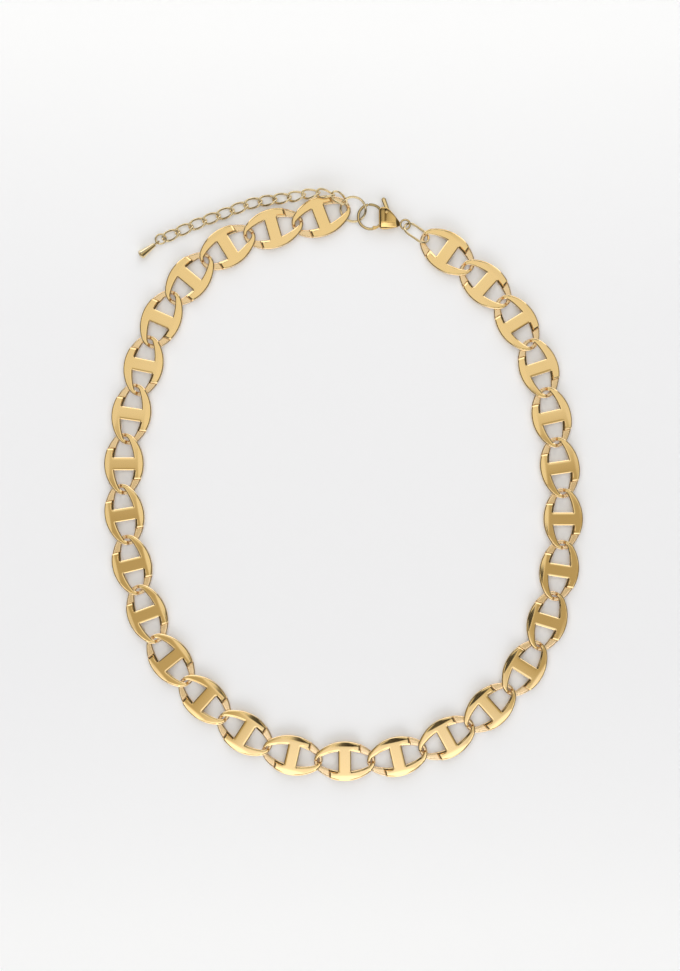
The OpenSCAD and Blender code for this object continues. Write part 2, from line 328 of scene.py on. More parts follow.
# %% [markdown]
# ## Heights over a link
# The middle of a link is 2 mm thick. Beyond the step its arms are leaves of half that height: one
# arm high, one low, with a slope between them at the tip, so that two links cross like hooks. The
# top is ground flat, arched by a hair along its length, and breaks toward every edge in a narrow
# facet of 5 degrees. The same facet is wider on the long sides and shows there as a crescent. The
# thick stub above a low arm ends in a wide bevel with a groove at its foot, and a ledge slopes
# down from it toward the opening.
#
# A stamping like this could be cut from a plate with booleans and bevels. Instead there is one
# height for the top and one for the underside, both worked out from the distance to the nearest
# edge. They give the same shape without a seam, and every bevel keeps its own width.

# %% Link heights
# For EDGE, STEP, GROOVE, LEDGE and LIP, W is how wide a cut is and H how deep. A wall is the drop
# from full thickness to a leaf or a ledge, and NO_WALL a distance at which there is none. Over
# RAMP's two values of v the high arm turns into the low one.
LEAF_T, LEAF_GAP = 0.95, 0.1
LINK_H = 2 * LEAF_T + LEAF_GAP
RAMP = (-0.6, 0.0)
EDGE_W, EDGE_H, FACET_W, CRESCENT_V = 0.25, 0.17, 0.55, 3.8
FACET_SLOPE = math.tan(math.radians(5.0))
DOME_R = 300.0
STEP_W, STEP_H, GROOVE_W, GROOVE_H = 0.4, 0.3, 0.2, 0.4
LEDGE_W, LEDGE_RISE, LEDGE_SLOPE = 0.5, 0.4, 0.53
LIP_W, WALL_W, NO_WALL = 0.1, 0.04, 9.0


def fall(d, reach):
    """How far a rounded edge has fallen at distance d from it: a quarter of an ellipse, 1 at the
    edge itself and 0 from reach on."""
    x = np.clip(1 - d / reach, 0, 1)
    return 1 - np.sqrt(1 - x * x)


def bevel(d, reach):
    """How far an edge has fallen at distance d from it: a straight bevel, 0 from reach on, that
    rolls over in its last quarter and ends at 1."""
    return 0.75 * np.clip(1 - d / reach, 0, 1) + 0.25 * fall(d, 0.25 * reach)


def plane_past(x, soft=0.04):
    """x where it is above 0, and 0 below, with the corner between them rounded off."""
    return 0.5 * (x + np.sqrt(x * x + soft * soft))


def distance(points, line, parts=12):
    """The shortest way from each point to the pieces of a line, worked out part by part to keep the
    table of all ways small."""
    a, step = line[:-1], np.diff(line, axis=0)
    size = np.maximum((step**2).sum(-1), 1e-12)
    out = np.empty(len(points))
    for part in np.array_split(np.arange(len(points)), parts):
        way = points[part, None] - a
        t = np.clip((way * step).sum(-1) / size, 0, 1)
        out[part] = np.linalg.norm(way - t[..., None] * step, axis=-1).min(1)
    return out


def mirrored(line):
    """A quarter line as the whole right half, from the lower left end round the tip to the top."""
    return np.concatenate([line[:-1] * [1, -1], line[::-1]])


outer_half = mirrored(outer_line[::6])
corner = np.array([[BAR_U, hole_top]])
hole_part = hole_line[hole_line[:, 0] > BAR_U][::6]
hole_half = mirrored(np.concatenate([corner, hole_part, hole_line[-1:]]))
hole_half = np.concatenate([hole_half, hole_half[:1]])


def heights(plan, thin, ledge):
    """Top and underside at plan points, and how near an edge each is. thin says which points
    belong to a leaf, ledge which ones drop to a ledge beside the opening. The left half is the
    right half turned by half a turn. stub is 1 on full thickness and 0 below the step; high is 1 on
    the high arm, 0 on the low one and an s-curve between them at the tip."""
    shape = plan.shape[:2]
    flat = np.where(plan[..., :1] < 0, -plan, plan).reshape(-1, 2)
    u, v = flat.T
    low_arm = v > 0
    thin = np.broadcast_to(thin, shape).reshape(-1)
    ledge = np.broadcast_to(ledge, shape).reshape(-1) & low_arm
    to_rim, to_hole = distance(flat, outer_half), distance(flat, hole_half)
    half, edge = 0.5 * (to_rim + to_hole), np.minimum(to_rim, to_hole)
    high = np.clip((RAMP[1] - v) / (RAMP[1] - RAMP[0]), 0, 1)
    high = high * high * (3 - 2 * high)

    in_stub, off_ledge = STEP_U - u, to_hole - LEDGE_W
    to_wall = np.where(ledge, np.minimum(in_stub, off_ledge), np.where(thin, in_stub, NO_WALL))
    to_wall = np.where(low_arm, to_wall, NO_WALL)
    stub = np.where(ledge, np.clip(to_wall / WALL_W, 0, 1), ~thin)
    end_cut = STEP_H * bevel(np.maximum(in_stub, 0), STEP_W)
    lip_cut = np.where(ledge, EDGE_H * bevel(np.maximum(off_ledge, 0), LIP_W), 0)
    thick_top = LINK_H - np.where(low_arm, np.maximum(end_cut, lip_cut), 0)

    groove = GROOVE_H * fall(np.abs(in_stub), GROOVE_W) * ((in_stub <= 0) & low_arm)
    leaf_top = LEAF_T + high * (LINK_H - LEAF_T) - groove
    ledge_top = LEAF_T + LEDGE_RISE + LEDGE_SLOPE * np.clip(to_hole - EDGE_W, 0, LEDGE_W - EDGE_W)
    low_top = np.where(ledge, ledge_top, leaf_top)

    near = bevel(edge, np.minimum(EDGE_W, half))
    facet = plane_past(np.minimum(FACET_W, half) - edge)
    crescent = plane_past(np.abs(v) - CRESCENT_V) * np.maximum(stub, high)
    top = low_top + stub * (thick_top - low_top) - EDGE_H * near - u**2 / (2 * DOME_R)
    top = top - FACET_SLOPE * np.maximum(facet, crescent)
    under = np.where(thin, high * (LINK_H - LEAF_T), 0.0) + EDGE_H * near
    # From here near serves only as the edge value: a painted highlight also along the step's walls
    # and the ledge's lip.
    near = np.maximum(near, bevel(np.abs(to_wall), LIP_W))
    return top.reshape(shape), under.reshape(shape), near.reshape(shape)


# %% [markdown]
# ## The link as a set of grids
# The bar with the two rims above and below it is one grid of columns across the link. Each pair of
# arms is a fan of columns from the opening's edge out to the rim. Points crowd together near the
# edges, where the surface turns, and every column at the step is there twice, once thick and once
# thin.

# %% Link grids
EDGE_ROWS = EDGE_W * np.array([0, 0.04, 0.12, 0.25, 0.9, 1, 1.1])
BESIDE_HOLE = np.concatenate([EDGE_ROWS, LEDGE_W + np.array([-0.1, 0, WALL_W, 0.07, 0.1, 0.14])])
BESIDE_RIM = np.concatenate([EDGE_ROWS, [0.5, 0.6, 0.7]])
STUB_END = STEP_W * np.array([1.1, 1, 0.9, 0.25, 0.12, 0.04, 0])
BAR_ROWS = 13


def across(width, middle=3):
    """Distances from the opening's edge for columns of the given widths: crowded at both edges
    and where the ledge ends."""
    width = np.asarray(width)[..., None]
    inner = BESIDE_HOLE * np.minimum(1, 0.5 * width / BESIDE_HOLE[-1])
    outer = width - BESIDE_RIM[::-1] * np.minimum(1, 0.4 * width / BESIDE_RIM[-1])
    share = np.linspace(0, 1, middle + 2)[1:-1]
    between = inner[..., -1:] + share * (outer[..., :1] - inner[..., -1:])
    return np.concatenate([inner, between, outer], -1)


def fan(inner, outer):
    """Columns from the inner points to the outer points, one row for each distance across."""
    way = outer - inner
    width = np.linalg.norm(way, axis=-1)
    share = across(width) / width[:, None]
    return inner[:, None] + share[..., None] * way[:, None]


def solid_grids(plan, thin, ledge, walls):
    """Top, underside and side walls of a plan grid. walls names the rows or columns of the plan
    that are open edges."""
    top, under, near = heights(plan, thin, ledge)
    upper = np.concatenate([plan, top[..., None]], -1)
    lower = np.concatenate([plan, under[..., None]], -1)
    # The nearness to an edge is also the edge value, a painted highlight on the bevels; the open
    # walls get a full painted highlight.
    sides = [(np.stack([upper[wall], lower[wall]]), "", 1.0) for wall in walls]
    return [(upper, "", near), (lower, "", near), *sides]


arm_u = np.concatenate([[BAR_U], np.linspace(BAR_U, STEP_U - 1.5 * STEP_W, 9), STEP_U - STUB_END])
arm_share = np.concatenate([[0, 0.004, 0.009, 0.016, 0.024], np.linspace(0.05, 1, 31)])
arm_inner = np.concatenate([from_u(hole_line, arm_u), beyond(hole_line, STEP_U, arm_share)])
arm_outer = np.concatenate([from_u(outer_line, arm_u), beyond(outer_line, STEP_U, arm_share)])
arm_thin = np.repeat([False, True], [len(arm_u), len(arm_share)])
arm_ledge = ~arm_thin & (np.arange(len(arm_thin)) > 0)
upper_arm = fan(arm_inner, arm_outer)
lower_arm = (upper_arm * [1, -1])[::-1][1:]
arms = np.concatenate([upper_arm, lower_arm])
thin, ledge = (np.concatenate([mask, mask[::-1][1:]])[:, None] for mask in (arm_thin, arm_ledge))
right = solid_grids(arms, thin, ledge, [np.s_[:, 0], np.s_[:, -1]])
left = [(grid * [-1, -1, 1], closed, near) for grid, closed, near in right]

bar_edge = BAR_U - BESIDE_RIM
bar_u = np.concatenate([-bar_edge, np.linspace(-1, 1, 7)[1:-1] * bar_edge[-1], bar_edge[::-1]])
rim_v = hole_top + across(from_u(outer_line, np.abs(bar_u))[:, 1] - hole_top)
bar_v = np.linspace(-hole_top, hole_top, BAR_ROWS)[1:-1]
bar_v = np.broadcast_to(bar_v, (len(bar_u), len(bar_v)))
whole_v = np.concatenate([-rim_v[:, ::-1], bar_v, rim_v], -1)
bar_plan = np.stack([np.broadcast_to(bar_u[:, None], whole_v.shape), whole_v], -1)
open_v = np.s_[rim_v.shape[1] - 1 : rim_v.shape[1] + BAR_ROWS - 1]
bar_walls = [np.s_[:, 0], np.s_[:, -1], np.s_[0, open_v], np.s_[-1, open_v]]
middle = solid_grids(bar_plan, False, False, bar_walls)
link_points, link_edges, link_faces = join(right + left + middle)
print("link surface:", len(link_faces), "quads")

# %% [markdown]
# ## One surface on every link
# The links come out of one die, so one surface serves them all. The frame says where each solid
# lies: the middle of its box is its place, and the long axis of its plan is its heading. An oval
# looks the same after half a turn, so either end may come first.

# %% Measure and dress the links
def triangles(node):
    """Corners of a node's triangles in millimetres, as an array (count, 3, 3)."""
    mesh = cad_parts[node].data
    mesh.calc_loop_triangles()
    corners = np.empty(len(mesh.loop_triangles) * 3, dtype=np.int32)
    mesh.loop_triangles.foreach_get("vertices", corners)
    place = np.empty(len(mesh.vertices) * 3)
    mesh.vertices.foreach_get("co", place)
    return place.reshape(-1, 3)[corners].reshape(-1, 3, 3) / MM


def heading_of(node):
    """Direction of the long axis of a node's plan: the main axis of its second moments, summed over
    the triangles that face up, each weighted with its area seen from above."""
    tri = triangles(node)
    a, b = tri[:, 1] - tri[:, 0], tri[:, 2] - tri[:, 0]
    seen = (a[:, 0] * b[:, 1] - a[:, 1] * b[:, 0]) / 2
    up = seen > 0
    low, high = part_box(node)
    middle = np.array((low + high) / 2)[:2] / MM
    flat, seen = tri[up][:, :, :2] - middle, seen[up]
    mean = flat.mean(1)
    inner = (np.einsum("nki,nkj->nij", flat, flat) + 9 * np.einsum("ni,nj->nij", mean, mean)) / 12
    spread = np.einsum("n,nij->ij", seen, inner)
    return middle, 0.5 * math.atan2(2 * spread[0, 1], spread[0, 0] - spread[1, 1])


def turned(points, heading, place):
    """Points turned round +Z and moved in the plane."""
    c, s = math.cos(heading), math.sin(heading)
    flat = points[:, :2] @ np.array([[c, s], [-s, c]]) + place
    return np.concatenate([flat, points[:, 2:]], -1)


link_names = sorted(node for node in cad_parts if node.startswith("link_"))
for name in link_names:
    place, heading = heading_of(name)
    points = turned(link_points, heading, place)
    mesh = finish_mesh("polished_" + name, points, link_edges, link_faces, smooth_deg=22)
    add_piece("polished_" + name, mesh, [name], LINK_GOLD)
print("links dressed:", len(link_names), "with", len(mesh.polygons), "faces each")

# %% [markdown]
# ## Rings and extender
# A ring is a wire bent round a rod and closed, and is made the same way: a round section carried
# along a closed line. The frame again tells where each one lies: its middle, and three axes from
# the second moments of its surface. The shortest is the ring's own axis. The extender's links are
# bent and then twisted, as in a curb chain. It is one node of loose links, so its triangles are
# first sorted into the parts that hang together.

# %% Wire helpers
UP = np.array([0.0, 0.0, 1.0])
CAP_ROWS = 6


def unit(vectors):
    """Vectors of length 1 in the same directions."""
    return vectors / np.linalg.norm(vectors, axis=-1, keepdims=True)


def wire(path, axis, wide, high, sides=16, closed=True):
    """A wire along a path: each section is an ellipse, wide across the path and high along axis.
    An open wire's ends are rounded off by sections that shrink as a quarter circle."""
    if closed:
        ahead = np.roll(path, -1, 0) - np.roll(path, 1, 0)
        size = np.ones(len(path))
    else:
        ahead = np.gradient(path, axis=0)
        cap = np.linspace(0, math.pi / 2, CAP_ROWS)
        size = np.concatenate([np.sin(cap), np.ones(len(path)), np.sin(cap)[::-1]])
        reach = np.minimum(wide, high) / 2 * (1 - np.cos(cap))
        ends = unit(ahead[[0, -1]])
        start = path[0] + (reach - reach[-1])[:, None] * ends[0]
        stop = path[-1] - (reach - reach[-1])[::-1, None] * ends[1]
        path = np.concatenate([start, path, stop])
        first, last = (np.repeat(end[None], CAP_ROWS, 0) for end in ends)
        ahead = np.concatenate([first, ahead, last])
    out = unit(np.cross(ahead, axis))
    up = unit(np.cross(out, ahead))
    turn = full_turn(sides)[:, None]
    section = wide / 2 * np.cos(turn) * out[:, None] + high / 2 * np.sin(turn) * up[:, None]
    return path[:, None] + size[:, None, None] * section


def painted_wire_light(sides, depth=1.0):
    """Painted light round a wire's section as edge values: 1, a painted highlight, on its crest, up
    to 1 + depth, painted shade, on both sides.
    """
    return 1 + depth * np.clip((np.abs(np.cos(full_turn(sides))) - 0.35) / 0.4, 0, 1)


def axes_of(tri):
    """Middle and axes of a shell of triangles, longest first: the eigenvectors of its second
    moments, each triangle's weighted with its area."""
    area = np.linalg.norm(np.cross(tri[:, 1] - tri[:, 0], tri[:, 2] - tri[:, 0]), axis=-1)
    middle = (tri.mean(1) * area[:, None]).sum(0) / area.sum()
    away = tri - middle
    mean = away.mean(1)
    inner = np.einsum("nki,nkj->nij", away, away) + 9 * np.einsum("ni,nj->nij", mean, mean)
    axes = np.linalg.eigh(np.einsum("n,nij->ij", area, inner))[1][:, ::-1].T
    axes[2] = np.cross(axes[0], axes[1])
    return middle, axes


def loose_parts(tri):
    """Triangles sorted into loose parts: every corner takes the lowest number among the corners of
    its triangles, again and again, until nothing changes."""
    spots, corner = np.unique(np.round(tri.reshape(-1, 3), 4), axis=0, return_inverse=True)
    corner = corner.reshape(-1, 3)
    label = np.arange(len(spots))
    while True:
        lower = label.copy()
        np.minimum.at(lower, corner.ravel(), np.repeat(label[corner].min(1), 3))
        if (lower == label).all():
            break
        label = lower
    mark = label[corner[:, 0]]
    return [tri[mark == m] for m in np.unique(mark)]


# %% Rings
def oval_path(length, width, count=96):
    """Middle line of an oval ring: two half circles of the given width, joined by straight sides,
    at equal steps along the line. turn is the angle on the half circles, shift the place along the
    straight sides."""
    r, straight = width / 2, length - width
    bend = math.pi * r
    t = np.arange(count) / count * (2 * math.pi * r + 2 * straight)
    first = np.clip(t, 0, bend) / r - math.pi / 2
    second = np.clip(t - bend - straight, 0, bend) / r + math.pi / 2
    turn = np.where(t < bend + straight, first, second)
    there, back = np.clip(t - bend, 0, straight), np.clip(t - 2 * bend - straight, 0, straight)
    shift = straight / 2 - there + back
    return np.stack([shift + r * np.cos(turn), r * np.sin(turn), 0 * t], -1)


def add_ring(name, node, length, width, thick):
    """A round or oval wire ring where its node lies."""
    middle, axes = axes_of(triangles(node))
    path = oval_path(length - thick, width - thick) @ axes + middle
    # The wire's crest gets a painted highlight and its sides painted shade.
    ring = (wire(path, axes[2], thick, thick), "rows columns", painted_wire_light(16, 0.6))
    add_piece(name, finish_mesh(name, *join([ring])), [node], RING_GOLD)


# Name, node, length, width and thickness of the wire
RINGS = (("round_ring", "big_ring", 7.2, 7.2, 0.65),
         ("long_ring", "oval_ring", 7.7, 4.7, 0.65),
         ("small_ring", "end_ring", 3.2, 3.2, 0.5))
for ring in RINGS:
    add_ring(*ring)
print("rings:", len(RINGS))

# %% Extender
EXT_L, EXT_W, EXT_WIRE, EXT_TWIST, EXT_SIDES = 4.65, 2.45, 0.62, 0.55, 12


def curb_path(count=40):
    """Middle line of a twisted link: an ellipse that rises and falls twice on its way round."""
    t = full_turn(count)
    return np.stack([EXT_L / 2 * np.cos(t), EXT_W / 2 * np.sin(t), -EXT_TWIST * np.sin(2 * t)], -1)


small_links = []
for part in loose_parts(triangles("extender_chain")):
    middle, axes = axes_of(part)
    small_wire = wire(curb_path() @ axes + middle, axes[2], EXT_WIRE, EXT_WIRE, EXT_SIDES)
    # The wire's crest gets a painted highlight and its sides a lighter painted shade.
    small_links.append((small_wire, "rows columns", painted_wire_light(EXT_SIDES, 0.3)))
add_piece("extender_links", finish_mesh("extender_links", *join(small_links)),
          ["extender_chain"], RING_GOLD)
print("small links:", len(small_links))

# %% [markdown]
# ## The drop
# A small bell, turned round its own axis on the real object and here alike: a neck that swells
# evenly and ends in a blunt, slightly arched bottom. It hangs from a tiny eye of wire that stands
# across the small ring. A dark stripe along it and a dark end are painted dark reflections, set
# as edge values: a fade round the axis, and the last rows. The rest of it gets a painted highlight.

# %% Drop
# Where the eye lies, the way the drop points and how it rises
DROP_AT = np.array([-48.592, 62.967, 1.1])
DROP_TURN, DROP_RISE = math.radians(217), math.radians(2)
DROP_L, DROP_D, DROP_END, NECK_R = 4.9, 2.4, 0.6, 0.6
EYE_R, EYE_WIRE, EYE_SIDES = 0.65, 0.4, 12
DROP_SIDES, END_ROWS = 32, 7
# Where the painted dark stripe runs round the drop, and how it fades
STRIPE_AT, STRIPE_FADE = math.radians(68), math.radians(12)


def lathe(profile, sides=DROP_SIDES):
    """A profile of rows (distance along the axis, radius) turned once round the x axis."""
    turn = full_turn(sides)
    along, r = profile[:, :1], profile[:, 1:]
    return np.stack([along + 0 * turn, r * np.cos(turn), r * np.sin(turn)], -1)


swell = np.linspace(0, 1, 18)
bell = NECK_R + (DROP_D / 2 - NECK_R) * swell**1.2
round_end = np.linspace(0, math.pi / 2, 10)[1:]
profile = np.concatenate([
    np.stack([0 * swell[:5], NECK_R * np.linspace(0, 1, 5)], -1)[:-1],
    np.stack([swell * (DROP_L - DROP_END), bell], -1),
    np.stack([DROP_L - DROP_END * (1 - np.sin(round_end)), DROP_D / 2 * np.cos(round_end)], -1)])
profile[:, 0] += EYE_R + EYE_WIRE / 4
round_it = full_turn(DROP_SIDES)
# Painted light: the stripe and one side of the end painted dark, the rest painted pale.
stripe = np.clip(2.2 - np.abs(round_it - STRIPE_AT) / STRIPE_FADE, 0, 1)
end_painted_shade = np.where(np.cos(round_it) < 0.3, 1.0, 0.2)
at_end = np.arange(len(profile)) >= len(profile) - END_ROWS
drop_painted_light = 1 + np.where(at_end[:, None], end_painted_shade, stripe)
turn = full_turn(28)
eye_path = np.stack([EYE_R * np.cos(turn), 0 * turn, EYE_R * np.sin(turn)], -1)
eye = wire(eye_path, np.array([0.0, 1.0, 0.0]), EYE_WIRE, EYE_WIRE, EYE_SIDES)
points, edges, faces = join([
    (lathe(profile), "columns", drop_painted_light), (eye, "rows columns", painted_wire_light(EYE_SIDES))])
ahead = np.array([math.cos(DROP_TURN), math.sin(DROP_TURN), 0])
beside = np.array([-math.sin(DROP_TURN), math.cos(DROP_TURN), 0])
lay = np.stack([ahead * math.cos(DROP_RISE) + UP * math.sin(DROP_RISE), beside,
                UP * math.cos(DROP_RISE) - ahead * math.sin(DROP_RISE)])
add_piece("bell_drop", finish_mesh("bell_drop", points @ lay + DROP_AT, edges, faces),
          ["drop"], RING_GOLD)
print("drop:", round(float(np.ptp(points[:, 0])), 2), "mm long with its eye")

# %% [markdown]
# ## The clasp
# A lobster clasp is cast in one piece: a fat teardrop body with a thin hook, and an eye at its
# tail. A slot in the body holds the lever, which turns on a pin: its gate closes the hook, and its
# tab stands out for the thumb. The body could be sculpted from a block. Here it is a stack of
# rounded sections from the mouth to the tail, each the same superellipse under a roof with one
# ridge, and the slot is the path by which a section leaves its upper lip and comes back to it. A
# nub, the catch, joins the hook's end to the body.

# %% Clasp body
# Lengths here are from the middle of the hook's arc: x toward the tail, y toward the tab
CLASP_AT = np.array([6.998, 69.707, 1.5])
PIVOT = np.array([4.2, 1.1])
HOOK_R, HOOK_WIDE, HOOK_HIGH, HOOK_SIDES = 3.17, 0.75, 0.6, 18
HOOK_TURN, GATE_TURN = (104.0, 330), (93.4, 12)
MOUTH_X, TAIL_X = 2.15, 7.88
FRONT_R, FRONT_INSET, FRONT_ROWS, SLOT_ROWS, TAIL_ROWS = 1.2, 0.7, 6, 12, 16
BODY_FULL, BODY_H = 14.0, 1.46
THIN_FROM, THIN_SLOPE, TAIL_FROM, CLOSE_FROM = 3.9, 0.19, 5.6, 6.3
RIDGE_Y, NORTH_FALL, SOUTH_FALL = -1.5, math.tan(math.radians(6.7)), math.tan(math.radians(19))
SLOT_X, SLOT_Y, SLOT_Z, SLOT_CORNERS = 5.4, -0.6, 0.4, (0.42, 0.58)
TAIL_EYE, TAIL_EYE_R, TAIL_EYE_WIRE, TAIL_EYE_SIDES = (9.05, -2.0, 0.0), 1.22, 0.56, 14
CATCH_X, CATCH_ROUND, CATCH_Y, CATCH_H, CATCH_FULL = (0.4, 2.6), 0.4, -2.35, 0.42, 0.6
# The body's two edges seen from above: x, y
UPPER_EDGE = [[2.15, 2.3], [3.3, 2.5], [4.5, 2.2], [5.8, 0.9],
              [7.0, -0.6], [7.6, -1.4], [7.88, -2.0]]
LOWER_EDGE = [[2.15, -3.1], [3.0, -3.27], [4.5, -3.2],
              [6.1, -2.93], [7.2, -2.65], [7.88, -2.0]]


def smooth_line(rows, steps=12):
    """A smooth line through a few points: between two of them it is a cubic whose slopes come from
    their neighbours."""
    p = np.asarray(rows, dtype=float)
    p = np.concatenate([[2 * p[0] - p[1]], p, [2 * p[-1] - p[-2]]])
    a, b, c, d = (p[k : len(p) - 3 + k, None] for k in range(4))
    t = (np.arange(steps) / steps)[None, :, None]
    line = b + 0.5 * t * (c - a + t * (2 * a - 5 * b + 4 * c - d + t * (3 * (b - c) + d - a)))
    return np.concatenate([line.reshape(-1, p.shape[1]), p[-2:-1]])


def arc(turns_deg, count):
    """Points on the hook's circle from one angle to another."""
    turn = np.radians(np.linspace(*turns_deg, count))[:, None]
    return np.concatenate([HOOK_R * np.cos(turn), HOOK_R * np.sin(turn), 0 * turn], -1)


def signed_power(value, power):
    """The power of a value's size, with the value's sign."""
    return np.sign(value) * np.abs(value) ** power


rounding = np.linspace(0, math.pi / 2, FRONT_ROWS)
front = MOUTH_X + FRONT_R * (1 - np.cos(rounding))
tail = TAIL_X - (TAIL_X - TAIL_FROM) * (1 - np.sin(np.linspace(0, math.pi / 2, TAIL_ROWS)))
along_slot = np.linspace(front[-1], SLOT_X, SLOT_ROWS)[1:]
station = np.concatenate([front, along_slot, [SLOT_X], tail])
slotted = np.arange(len(station)) < len(front) + len(along_slot)
inset = np.zeros(len(station))
inset[:FRONT_ROWS] = FRONT_INSET * (1 - np.sin(rounding))
y_up = np.interp(station, *smooth_line(UPPER_EDGE).T) - inset
y_low = np.interp(station, *smooth_line(LOWER_EDGE).T) + inset
half_w, mid_y = (y_up - y_low) / 2, (y_up + y_low) / 2
closing = ((station - CLOSE_FROM) / (TAIL_X - CLOSE_FROM)).clip(0, 1)
half_h = BODY_H - plane_past(station - THIN_FROM, 0.5) * THIN_SLOPE - inset
half_h = half_h * np.sqrt(np.clip(1 - closing**2, 0, 1))


def crown(y):
    """Share of the full height at y: 1 on the ridge, falling slowly up and steeply down from it."""
    north, south = np.clip(y - RIDGE_Y, 0, None), np.clip(RIDGE_Y - y, 0, None)
    return 1 - (NORTH_FALL * north + SOUTH_FALL * south) / BODY_H


def section(angle):
    """Points of every section at an angle from its upper edge: a superellipse, nearly a box with
    round corners, lowered on both sides of the ridge."""
    across, up = np.cos(angle), np.sin(angle)
    reach = (np.abs(across) ** BODY_FULL + np.abs(up) ** BODY_FULL) ** (-1 / BODY_FULL)
    y = mid_y[:, None] + half_w[:, None] * across * reach
    z = half_h[:, None] * up * reach * crown(y)
    return np.stack([np.broadcast_to(station[:, None], y.shape), y, z], -1)


slot_share = SLOT_Z / np.maximum(half_h * crown(y_up), SLOT_Z * 1.02)
lip = np.arctan2(slot_share, (1 - slot_share**BODY_FULL) ** (1 / BODY_FULL))[:, None]
share = np.linspace(0, 1, 97)
skin = section(lip + share * (2 * math.pi - 2 * lip))
closed_top = section(lip * (1 - 2 * share))
inward = np.clip(np.minimum(share, 1 - share) / SLOT_CORNERS[0], 0, 1)
slot_y = skin[:, :1, 1] + inward * (SLOT_Y - skin[:, :1, 1])
downward = np.clip((share - SLOT_CORNERS[0]) / (SLOT_CORNERS[1] - SLOT_CORNERS[0]), 0, 1)
slot_z = np.broadcast_to(SLOT_Z * (1 - 2 * downward), slot_y.shape)
slot = np.stack([np.broadcast_to(station[:, None], slot_y.shape), slot_y, slot_z], -1)
bridge = np.where(slotted[:, None, None], slot, closed_top)
mouth = np.stack([skin[0], bridge[0]])
hook = wire(arc(HOOK_TURN, 60), UP, HOOK_WIDE, HOOK_HIGH, HOOK_SIDES, closed=False)
eye_turn = full_turn(44)[:, None]
eye_path = np.concatenate([np.cos(eye_turn), np.sin(eye_turn), 0 * eye_turn], -1)
tail_eye = wire(TAIL_EYE + TAIL_EYE_R * eye_path, UP, TAIL_EYE_WIRE, TAIL_EYE_WIRE, TAIL_EYE_SIDES)

# The catch: sections between the hook's outer arc and a chord, rounded off at the hook's end
catch_x = np.linspace(*CATCH_X, 14)[:, None]
before = ((CATCH_X[0] + CATCH_ROUND - catch_x) / CATCH_ROUND).clip(0, 1)
size = np.sqrt(np.clip(1 - before**2, 0, 1)) * (catch_x < CATCH_X[1] - 0.01)
low_y = -np.sqrt((HOOK_R + HOOK_WIDE / 2) ** 2 - catch_x**2)
turn = full_turn(20)
half_y = size * (CATCH_Y - low_y) / 2
catch_y = (low_y + CATCH_Y) / 2 + half_y * signed_power(np.cos(turn), CATCH_FULL)
catch_z = size * CATCH_H * signed_power(np.sin(turn), CATCH_FULL)
catch = np.stack([np.broadcast_to(catch_x, catch_y.shape), catch_y, catch_z], -1)
# Edge values paint light on the clasp: the slot and the top behind it (1.5) and the mouth (2.0) are
# painted shade, the hook and the tail eye get a painted highlight on their crests and painted shade
# on their sides, and the catch is a little paler.
points, edges, faces = join([
    (skin, "", 0.0), (bridge, "", 1.5), (mouth, "", 2.0), (hook, "columns", painted_wire_light(HOOK_SIDES)),
    (catch, "columns", 0.3), (tail_eye, "rows columns", painted_wire_light(TAIL_EYE_SIDES))])
add_piece("clasp_shell", finish_mesh("clasp_shell", points + CLASP_AT, edges, faces, smooth_deg=40),
          ["clasp_body"], CLASP_GOLD)
print("clasp:", round(float(np.ptp(points[:, 0])), 1), "mm long")


# %% Clasp lever and pin
GATE_WIDE, LEVER_H, HUB_R = 0.73, 0.58, 0.94
# Half of the pin from its middle out: distance, radius
PIN_ROWS = np.array([[1.22, 0.4], [1.3, 0.36], [1.34, 0.2], [1.34, 0.0]])


def pill(start, stop, r_start, r_stop, high, turns=13, rows=11):
    """A rounded slab between two points: at each angle round it a ray leaves the nearer end, and
    the rows carry it from the middle of the underside out, up the side and back in on top."""
    start, stop = np.array(start), np.array(stop)
    lean = math.atan2(stop[1] - start[1], stop[0] - start[0])
    half = np.linspace(-math.pi / 2, math.pi / 2, turns)
    turn = np.concatenate([half, half + math.pi]) + lean
    r = np.repeat([r_stop, r_start], turns)
    foot = np.repeat([stop, start], turns, axis=0)
    side = np.linspace(-math.pi / 2, math.pi / 2, rows)
    share = np.concatenate([[0], 0.4 + 0.6 * np.cos(side), [0]])[:, None]
    z = np.concatenate([[-high / 2], high / 2 * np.sin(side), [high / 2]])[:, None]
    # Painted light as edge values: pale on top and underside as a painted highlight, painted shade
    # on the sides.
    side_painted_shade = 1 + np.concatenate([[0], np.cos(side), [0]])[:, None]
    x = foot[:, 0] + share * r * np.cos(turn)
    y = foot[:, 1] + share * r * np.sin(turn)
    return np.stack([x, y, np.broadcast_to(z, x.shape)], -1), "columns", side_painted_shade


gate = wire(arc(GATE_TURN, 28), UP, GATE_WIDE, LEVER_H, HOOK_SIDES, closed=False)
hub = pill(PIVOT, PIVOT, HUB_R, HUB_R, LEVER_H)
tab = pill((4.35, 2.0), (3.45, 4.43), 0.5, 0.6, LEVER_H)
root = pill((2.6, 1.95), (4.0, 1.9), 0.3, 0.35, 0.56)
# The gate is painted half a step darker than the hook, as painted shade.
lever = [(gate, "columns", np.minimum(painted_wire_light(HOOK_SIDES) + 0.5, 2)), hub, tab, root]
points, edges, faces = join(lever)
add_piece("lever_gate", finish_mesh("lever_gate", points + CLASP_AT, edges, faces, smooth_deg=40),
          ["clasp_lever"], CLASP_GOLD, "clasp_lever")
pin_rows = np.concatenate([PIN_ROWS[::-1] * [-1, 1], PIN_ROWS])
pin = lathe(pin_rows, 24)[..., [2, 1, 0]] + [*PIVOT, 0] + CLASP_AT
add_piece("pin_heads", finish_mesh("pin_heads", *join([(pin, "columns", 0.5)]), smooth_deg=40),
          ["clasp_pin"], CLASP_GOLD)
print("lever pieces:", len(lever))

